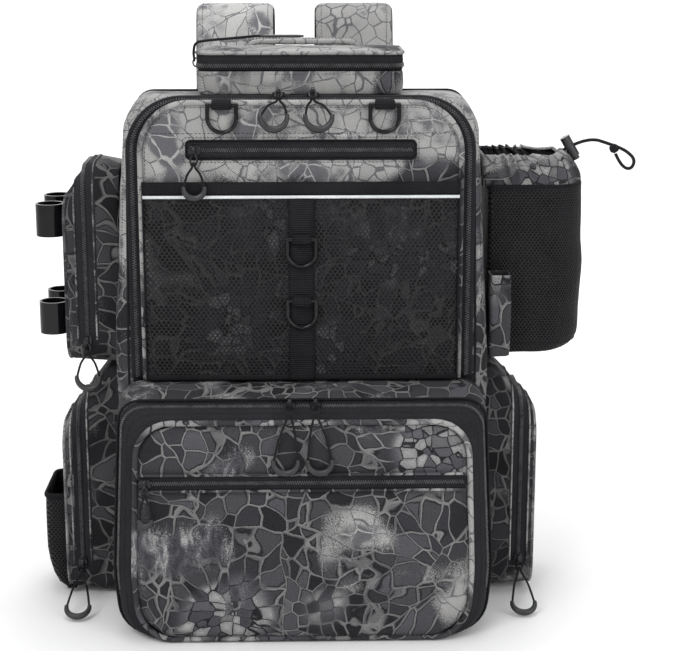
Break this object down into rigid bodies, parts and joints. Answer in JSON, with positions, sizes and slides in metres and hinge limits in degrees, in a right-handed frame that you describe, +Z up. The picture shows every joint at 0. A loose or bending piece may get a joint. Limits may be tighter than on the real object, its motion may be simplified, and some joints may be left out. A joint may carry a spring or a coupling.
{
  "type": "fishing tackle backpack",
  "caption": "Upright fishing tackle backpack with zipped front, side and top pockets, a mesh bottle pocket, rod rings, D-rings, a carry handle and shoulder straps.",
  "frame": {"origin": "on the ground under the bag, midway between the sides of the main body, 54 mm behind the front edge of the main compartment", "axes": "+Z up, -Y the way the front flap faces, +X to the right as seen from the front; the bag stands on its flat base"},
  "size_m": [0.5423, 0.3095, 0.5342],
  "materials": {
    "camo_fabric": "woven",
    "black_fabric": "padded mesh",
    "stiffener_plastic": "matte",
    "zip_tape": "woven tape",
    "black_mesh": "mesh",
    "webbing": "ribbed webbing",
    "reflective": "reflective",
    "ring_metal": "gunmetal",
    "gloss_black": "gloss",
    "buckle_plastic": "matte",
    "cord": "braided",
    "slider_metal": "satin",
    "pull_rubber": "soft matte"
  },
  "bodies": {
    "pack": {"main_gusset": "camo_fabric", "back_panel": "black_fabric", "back_pads": "black_fabric", "frame_sheet": "stiffener_plastic", "base_board": "stiffener_plastic", "main_zip_tape": "zip_tape", "lower_pocket_gusset": "camo_fabric", "lower_zip_tape": "zip_tape", "top_case_base": "camo_fabric", "carry_handle": "camo_fabric", "upper_left_gusset": "camo_fabric", "lower_left_gusset": "camo_fabric", "lower_right_gusset": "camo_fabric", "bottle_pocket": "black_mesh", "bottle_collar": "camo_fabric", "tool_sleeve": "camo_fabric", "shoulder_strap_left": "camo_fabric", "shoulder_strap_right": "camo_fabric", "ladder_locks": "buckle_plastic", "lower_webbing": "webbing", "drawcord": "cord"},
    "flap": {"front_flap": "camo_fabric", "flap_mesh_pocket": "black_mesh", "flap_webbing": "webbing", "flap_pocket_zip": "zip_tape", "reflective_piping": "reflective"},
    "lower_flap": {"lower_flap": "camo_fabric", "lower_pocket_zip": "zip_tape"},
    "case_lid": {"top_case_lid": "camo_fabric"},
    "upper_left_cover": {"upper_left_cover": "camo_fabric", "rod_rings": "gloss_black"},
    "lower_left_cover": {"lower_left_cover": "camo_fabric", "rod_butt_pouch": "black_mesh"},
    "lower_right_cover": {"lower_right_cover": "camo_fabric"},
    "cord_lock": {"cord_lock_body": "buckle_plastic"},
    "cord_lock_button": {"cord_lock_button": "buckle_plastic"},
    "d_ring_top_left": {"d_ring_top_left": "ring_metal"},
    "d_ring_top_right": {"d_ring_top_right": "ring_metal"},
    "d_ring_column_upper": {"d_ring_column_upper": "ring_metal"},
    "d_ring_column_lower": {"d_ring_column_lower": "ring_metal"},
    "slider_main_left": {"slider_main_left": "slider_metal"},
    "pull_main_left": {"pull_main_left": "pull_rubber"},
    "slider_main_right": {"slider_main_right": "slider_metal"},
    "pull_main_right": {"pull_main_right": "pull_rubber"},
    "slider_flap_pocket": {"slider_flap_pocket": "slider_metal"},
    "pull_flap_pocket": {"pull_flap_pocket": "pull_rubber"},
    "slider_lower_left_front": {"slider_lower_left_front": "slider_metal"},
    "pull_lower_left_front": {"pull_lower_left_front": "pull_rubber"},
    "slider_lower_right_front": {"slider_lower_right_front": "slider_metal"},
    "pull_lower_right_front": {"pull_lower_right_front": "pull_rubber"},
    "slider_panel_pocket": {"slider_panel_pocket": "slider_metal"},
    "pull_panel_pocket": {"pull_panel_pocket": "pull_rubber"},
    "slider_upper_left": {"slider_upper_left": "slider_metal"},
    "pull_upper_left": {"pull_upper_left": "pull_rubber"},
    "slider_lower_left": {"slider_lower_left": "slider_metal"},
    "pull_lower_left": {"pull_lower_left": "pull_rubber"},
    "slider_lower_right": {"slider_lower_right": "slider_metal"},
    "pull_lower_right": {"pull_lower_right": "pull_rubber"},
    "slider_top_case": {"slider_top_case": "slider_metal"},
    "pull_top_case": {"pull_top_case": "pull_rubber"}
  },
  "joints": [
    {"name": "flap_hinge", "type": "hinge", "parent": "pack", "child": "flap", "pos_m": [0, -0.068, 0.2185], "axis": [1, 0, 0], "range_deg": [0, 70]},
    {"name": "lower_flap_hinge", "type": "hinge", "parent": "pack", "child": "lower_flap", "pos_m": [0, -0.13, 0.001], "axis": [1, 0, 0], "range_deg": [0, 80]},
    {"name": "case_lid_hinge", "type": "hinge", "parent": "pack", "child": "case_lid", "pos_m": [0, 0.06, 0.4994], "axis": [-1, 0, 0], "range_deg": [0, 90]},
    {"name": "upper_left_cover_hinge", "type": "hinge", "parent": "pack", "child": "upper_left_cover", "pos_m": [-0.211, 0.021, 0.2235], "axis": [0, -1, 0], "range_deg": [0, 75]},
    {"name": "lower_left_cover_hinge", "type": "hinge", "parent": "pack", "child": "lower_left_cover", "pos_m": [-0.219, 0.025, 0.003], "axis": [0, -1, 0], "range_deg": [0, 45]},
    {"name": "lower_right_cover_hinge", "type": "hinge", "parent": "pack", "child": "lower_right_cover", "pos_m": [0.214, 0.025, 0.003], "axis": [0, 1, 0], "range_deg": [0, 75]},
    {"name": "d_ring_top_left_swing", "type": "hinge", "parent": "flap", "child": "d_ring_top_left", "pos_m": [-0.067, -0.0653, 0.4594], "axis": [-1, 0, 0], "range_deg": [0, 90]},
    {"name": "d_ring_top_right_swing", "type": "hinge", "parent": "flap", "child": "d_ring_top_right", "pos_m": [0.071, -0.0653, 0.4594], "axis": [-1, 0, 0], "range_deg": [0, 90]},
    {"name": "d_ring_column_upper_swing", "type": "hinge", "parent": "flap", "child": "d_ring_column_upper", "pos_m": [0, -0.0731, 0.345], "axis": [-1, 0, 0], "range_deg": [0, 90]},
    {"name": "d_ring_column_lower_swing", "type": "hinge", "parent": "flap", "child": "d_ring_column_lower", "pos_m": [0, -0.0731, 0.291], "axis": [-1, 0, 0], "range_deg": [0, 90]},
    {"name": "slider_main_left_travel", "type": "slide", "parent": "flap", "child": "slider_main_left", "axis": [-1, 0, 0], "range_m": [0, 0.075]},
    {"name": "pull_main_left_swing", "type": "hinge", "parent": "slider_main_left", "child": "pull_main_left", "pos_m": [-0.019, -0.0595, 0.4717], "axis": [-1, 0, 0], "range_deg": [0, 100]},
    {"name": "slider_main_right_travel", "type": "slide", "parent": "flap", "child": "slider_main_right", "axis": [1, 0, 0], "range_m": [0, 0.084]},
    {"name": "pull_main_right_swing", "type": "hinge", "parent": "slider_main_right", "child": "pull_main_right", "pos_m": [0.01, -0.0595, 0.4717], "axis": [-1, 0, 0], "range_deg": [0, 100]},
    {"name": "slider_flap_pocket_travel", "type": "slide", "parent": "flap", "child": "slider_flap_pocket", "axis": [1, 0, 0], "range_m": [0, 0.182]},
    {"name": "pull_flap_pocket_swing", "type": "hinge", "parent": "slider_flap_pocket", "child": "pull_flap_pocket", "pos_m": [-0.091, -0.068, 0.418], "axis": [-1, 0, 0], "range_deg": [0, 100]},
    {"name": "slider_lower_left_front_travel", "type": "slide", "parent": "lower_flap", "child": "slider_lower_left_front", "axis": [-1, 0, 0], "range_m": [0, 0.095]},
    {"name": "pull_lower_left_front_swing", "type": "hinge", "parent": "slider_lower_left_front", "child": "pull_lower_left_front", "pos_m": [-0.011, -0.12, 0.2152], "axis": [-1, 0, 0], "range_deg": [0, 100]},
    {"name": "slider_lower_right_front_travel", "type": "slide", "parent": "lower_flap", "child": "slider_lower_right_front", "axis": [1, 0, 0], "range_m": [0, 0.095]},
    {"name": "pull_lower_right_front_swing", "type": "hinge", "parent": "slider_lower_right_front", "child": "pull_lower_right_front", "pos_m": [0.011, -0.12, 0.2152], "axis": [-1, 0, 0], "range_deg": [0, 100]},
    {"name": "slider_panel_pocket_travel", "type": "slide", "parent": "lower_flap", "child": "slider_panel_pocket", "axis": [1, 0, 0], "range_m": [0, 0.268]},
    {"name": "pull_panel_pocket_swing", "type": "hinge", "parent": "slider_panel_pocket", "child": "pull_panel_pocket", "pos_m": [-0.134, -0.136, 0.1435], "axis": [-1, 0, 0], "range_deg": [0, 100]},
    {"name": "slider_upper_left_travel", "type": "slide", "parent": "pack", "child": "slider_upper_left", "axis": [0, 0, 1], "range_m": [0, 0.125]},
    {"name": "pull_upper_left_swing", "type": "hinge", "parent": "slider_upper_left", "child": "pull_upper_left", "pos_m": [-0.192, -0.0288, 0.243], "axis": [-1, 0, 0], "range_deg": [0, 100]},
    {"name": "slider_lower_left_travel", "type": "slide", "parent": "pack", "child": "slider_lower_left", "axis": [0, 0, 1], "range_m": [0, 0.13]},
    {"name": "pull_lower_left_swing", "type": "hinge", "parent": "slider_lower_left", "child": "pull_lower_left", "pos_m": [-0.204, -0.0268, 0.031], "axis": [-1, 0, 0], "range_deg": [0, 60]},
    {"name": "slider_lower_right_travel", "type": "slide", "parent": "pack", "child": "slider_lower_right", "axis": [0, 0, 1], "range_m": [0, 0.13]},
    {"name": "pull_lower_right_swing", "type": "hinge", "parent": "slider_lower_right", "child": "pull_lower_right", "pos_m": [0.2, -0.0268, 0.031], "axis": [-1, 0, 0], "range_deg": [0, 60]},
    {"name": "slider_top_case_travel", "type": "slide", "parent": "case_lid", "child": "slider_top_case", "axis": [0, -1, 0], "range_m": [0, 0.026]},
    {"name": "pull_top_case_swing", "type": "hinge", "parent": "slider_top_case", "child": "pull_top_case", "pos_m": [-0.0948, 0.024, 0.4916], "axis": [0, -1, 0], "range_deg": [0, 150]},
    {"name": "cord_lock_travel", "type": "slide", "parent": "pack", "child": "cord_lock", "axis": [0.8564, -0.0816, 0.5098], "range_m": [0, 0.006]},
    {"name": "cord_lock_button_press", "type": "slide", "parent": "cord_lock", "child": "cord_lock_button", "axis": [-0.5115, 0, 0.8593], "range_m": [0, 0.0024], "stiffness_N_per_m": 2000}
  ]
}
